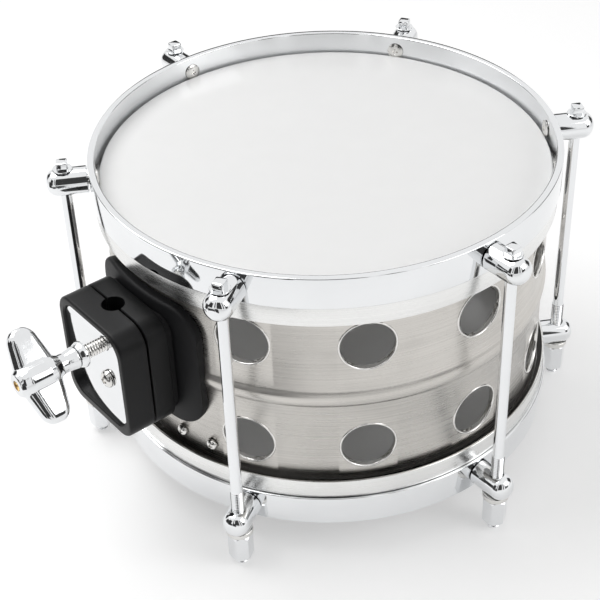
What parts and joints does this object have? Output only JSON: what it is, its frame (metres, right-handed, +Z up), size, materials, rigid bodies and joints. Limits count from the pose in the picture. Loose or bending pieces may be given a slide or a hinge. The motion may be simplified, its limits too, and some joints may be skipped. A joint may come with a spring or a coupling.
{
  "type": "repinique",
  "caption": "Small metal samba drum with two white heads, pierced shell, flat hoops, tension rods with lugs and nuts, and a split post clamp with a wing bolt.",
  "frame": {"origin": "on the floor under the middle of the bounding box, with the lower ends of the tension rods on the floor", "axes": "+Z up along the drum's axis towards the playing head, the post clamp and its wing bolt towards -X, +X away from them"},
  "size_m": [0.2814, 0.2506, 0.1576],
  "materials": {
    "shell_metal": "brushed round the shell",
    "head_film": "smooth white polyester film, slightly glossy",
    "flesh_hoop_metal": "turned, satin",
    "hoop_chrome": "polished",
    "fitting_chrome": "polished",
    "plated_steel": "plated",
    "gasket_rubber": "matt",
    "clamp_moulding": "fine satin moulding"
  },
  "bodies": {
    "drum": {"shell": "shell_metal", "batter_film": "head_film", "resonant_film": "head_film", "batter_flesh_hoop": "flesh_hoop_metal", "resonant_flesh_hoop": "flesh_hoop_metal", "top_hoop": "hoop_chrome", "bottom_hoop": "hoop_chrome", "top_lug_1": "fitting_chrome", "top_lug_2": "fitting_chrome", "top_lug_3": "fitting_chrome", "top_lug_4": "fitting_chrome", "top_lug_5": "fitting_chrome", "top_lug_6": "fitting_chrome", "bottom_lug_1": "fitting_chrome", "bottom_lug_2": "fitting_chrome", "bottom_lug_3": "fitting_chrome", "bottom_lug_4": "fitting_chrome", "bottom_lug_5": "fitting_chrome", "bottom_lug_6": "fitting_chrome", "tension_rod_1": "fitting_chrome", "tension_rod_2": "fitting_chrome", "tension_rod_3": "fitting_chrome", "tension_rod_4": "fitting_chrome", "tension_rod_5": "fitting_chrome", "tension_rod_6": "fitting_chrome", "top_lug_screw_1": "plated_steel", "top_lug_screw_2": "plated_steel", "top_lug_screw_3": "plated_steel", "top_lug_screw_4": "plated_steel", "top_lug_screw_5": "plated_steel", "top_lug_screw_6": "plated_steel", "bottom_lug_screw_1": "plated_steel", "bottom_lug_screw_2": "plated_steel", "bottom_lug_screw_3": "plated_steel", "bottom_lug_screw_4": "plated_steel", "bottom_lug_screw_5": "plated_steel", "bottom_lug_screw_6": "plated_steel", "backing_plate": "plated_steel", "backing_screw_1": "plated_steel", "backing_screw_2": "plated_steel", "clamp_gasket": "gasket_rubber", "rear_jaw": "clamp_moulding"},
    "front_clamp": {"front_jaw": "clamp_moulding", "face_plate": "hoop_chrome", "plate_screw": "plated_steel"},
    "bolt_washer": {"wing_washer": "fitting_chrome"},
    "wing_bolt": {"wing_handle": "fitting_chrome", "wing_stud": "plated_steel"},
    "washer_1": {"nut_washer_1": "plated_steel"},
    "washer_2": {"nut_washer_2": "plated_steel"},
    "washer_3": {"nut_washer_3": "plated_steel"},
    "washer_4": {"nut_washer_4": "plated_steel"},
    "washer_5": {"nut_washer_5": "plated_steel"},
    "washer_6": {"nut_washer_6": "plated_steel"},
    "nut_1": {"tuning_nut_1": "fitting_chrome"},
    "nut_2": {"tuning_nut_2": "fitting_chrome"},
    "nut_3": {"tuning_nut_3": "fitting_chrome"},
    "nut_4": {"tuning_nut_4": "fitting_chrome"},
    "nut_5": {"tuning_nut_5": "fitting_chrome"},
    "nut_6": {"tuning_nut_6": "fitting_chrome"}
  },
  "joints": [
    {"name": "jaw_slide", "type": "slide", "parent": "drum", "child": "front_clamp", "axis": [-1, 0, 0], "range_m": [-0.0007, 0]},
    {"name": "wing_slide", "type": "slide", "parent": "drum", "child": "bolt_washer", "axis": [-1, 0, 0], "range_m": [-0.00889, 0.00254]},
    {"name": "wing_turn", "type": "hinge", "parent": "bolt_washer", "child": "wing_bolt", "pos_m": [-0.11273, -0.0105, 0.112], "axis": [-1, 0, 0], "range_deg": [-2521, 721]},
    {"name": "washer_slide_1", "type": "slide", "parent": "drum", "child": "washer_1", "axis": [0, 0, -1], "range_m": [0, 0.003]},
    {"name": "washer_slide_2", "type": "slide", "parent": "drum", "child": "washer_2", "axis": [0, 0, -1], "range_m": [0, 0.003]},
    {"name": "washer_slide_3", "type": "slide", "parent": "drum", "child": "washer_3", "axis": [0, 0, -1], "range_m": [0, 0.003]},
    {"name": "washer_slide_4", "type": "slide", "parent": "drum", "child": "washer_4", "axis": [0, 0, -1], "range_m": [0, 0.003]},
    {"name": "washer_slide_5", "type": "slide", "parent": "drum", "child": "washer_5", "axis": [0, 0, -1], "range_m": [0, 0.003]},
    {"name": "washer_slide_6", "type": "slide", "parent": "drum", "child": "washer_6", "axis": [0, 0, -1], "range_m": [0, 0.003]},
    {"name": "nut_turn_1", "type": "hinge", "parent": "washer_1", "child": "nut_1", "pos_m": [-0.07061, -0.05865, 0.0106], "axis": [0, 0, -1], "range_deg": [0, 1081]},
    {"name": "nut_turn_2", "type": "hinge", "parent": "washer_2", "child": "nut_2", "pos_m": [0.03097, -0.1173, 0.0106], "axis": [0, 0, -1], "range_deg": [0, 1081]},
    {"name": "nut_turn_3", "type": "hinge", "parent": "washer_3", "child": "nut_3", "pos_m": [0.13256, -0.05865, 0.0106], "axis": [0, 0, -1], "range_deg": [0, 1081]},
    {"name": "nut_turn_4", "type": "hinge", "parent": "washer_4", "child": "nut_4", "pos_m": [0.13256, 0.05865, 0.0106], "axis": [0, 0, -1], "range_deg": [0, 1081]},
    {"name": "nut_turn_5", "type": "hinge", "parent": "washer_5", "child": "nut_5", "pos_m": [0.03097, 0.1173, 0.0106], "axis": [0, 0, -1], "range_deg": [0, 1081]},
    {"name": "nut_turn_6", "type": "hinge", "parent": "washer_6", "child": "nut_6", "pos_m": [-0.07061, 0.05865, 0.0106], "axis": [0, 0, -1], "range_deg": [0, 1081]}
  ],
  "couplings": [
    {"joint": "wing_turn", "follows": "wing_slide", "rad_per_m": 4947.4},
    {"joint": "nut_turn_1", "follows": "washer_slide_1", "rad_per_m": 6283.2},
    {"joint": "nut_turn_2", "follows": "washer_slide_2", "rad_per_m": 6283.2},
    {"joint": "nut_turn_3", "follows": "washer_slide_3", "rad_per_m": 6283.2},
    {"joint": "nut_turn_4", "follows": "washer_slide_4", "rad_per_m": 6283.2},
    {"joint": "nut_turn_5", "follows": "washer_slide_5", "rad_per_m": 6283.2},
    {"joint": "nut_turn_6", "follows": "washer_slide_6", "rad_per_m": 6283.2}
  ]
}
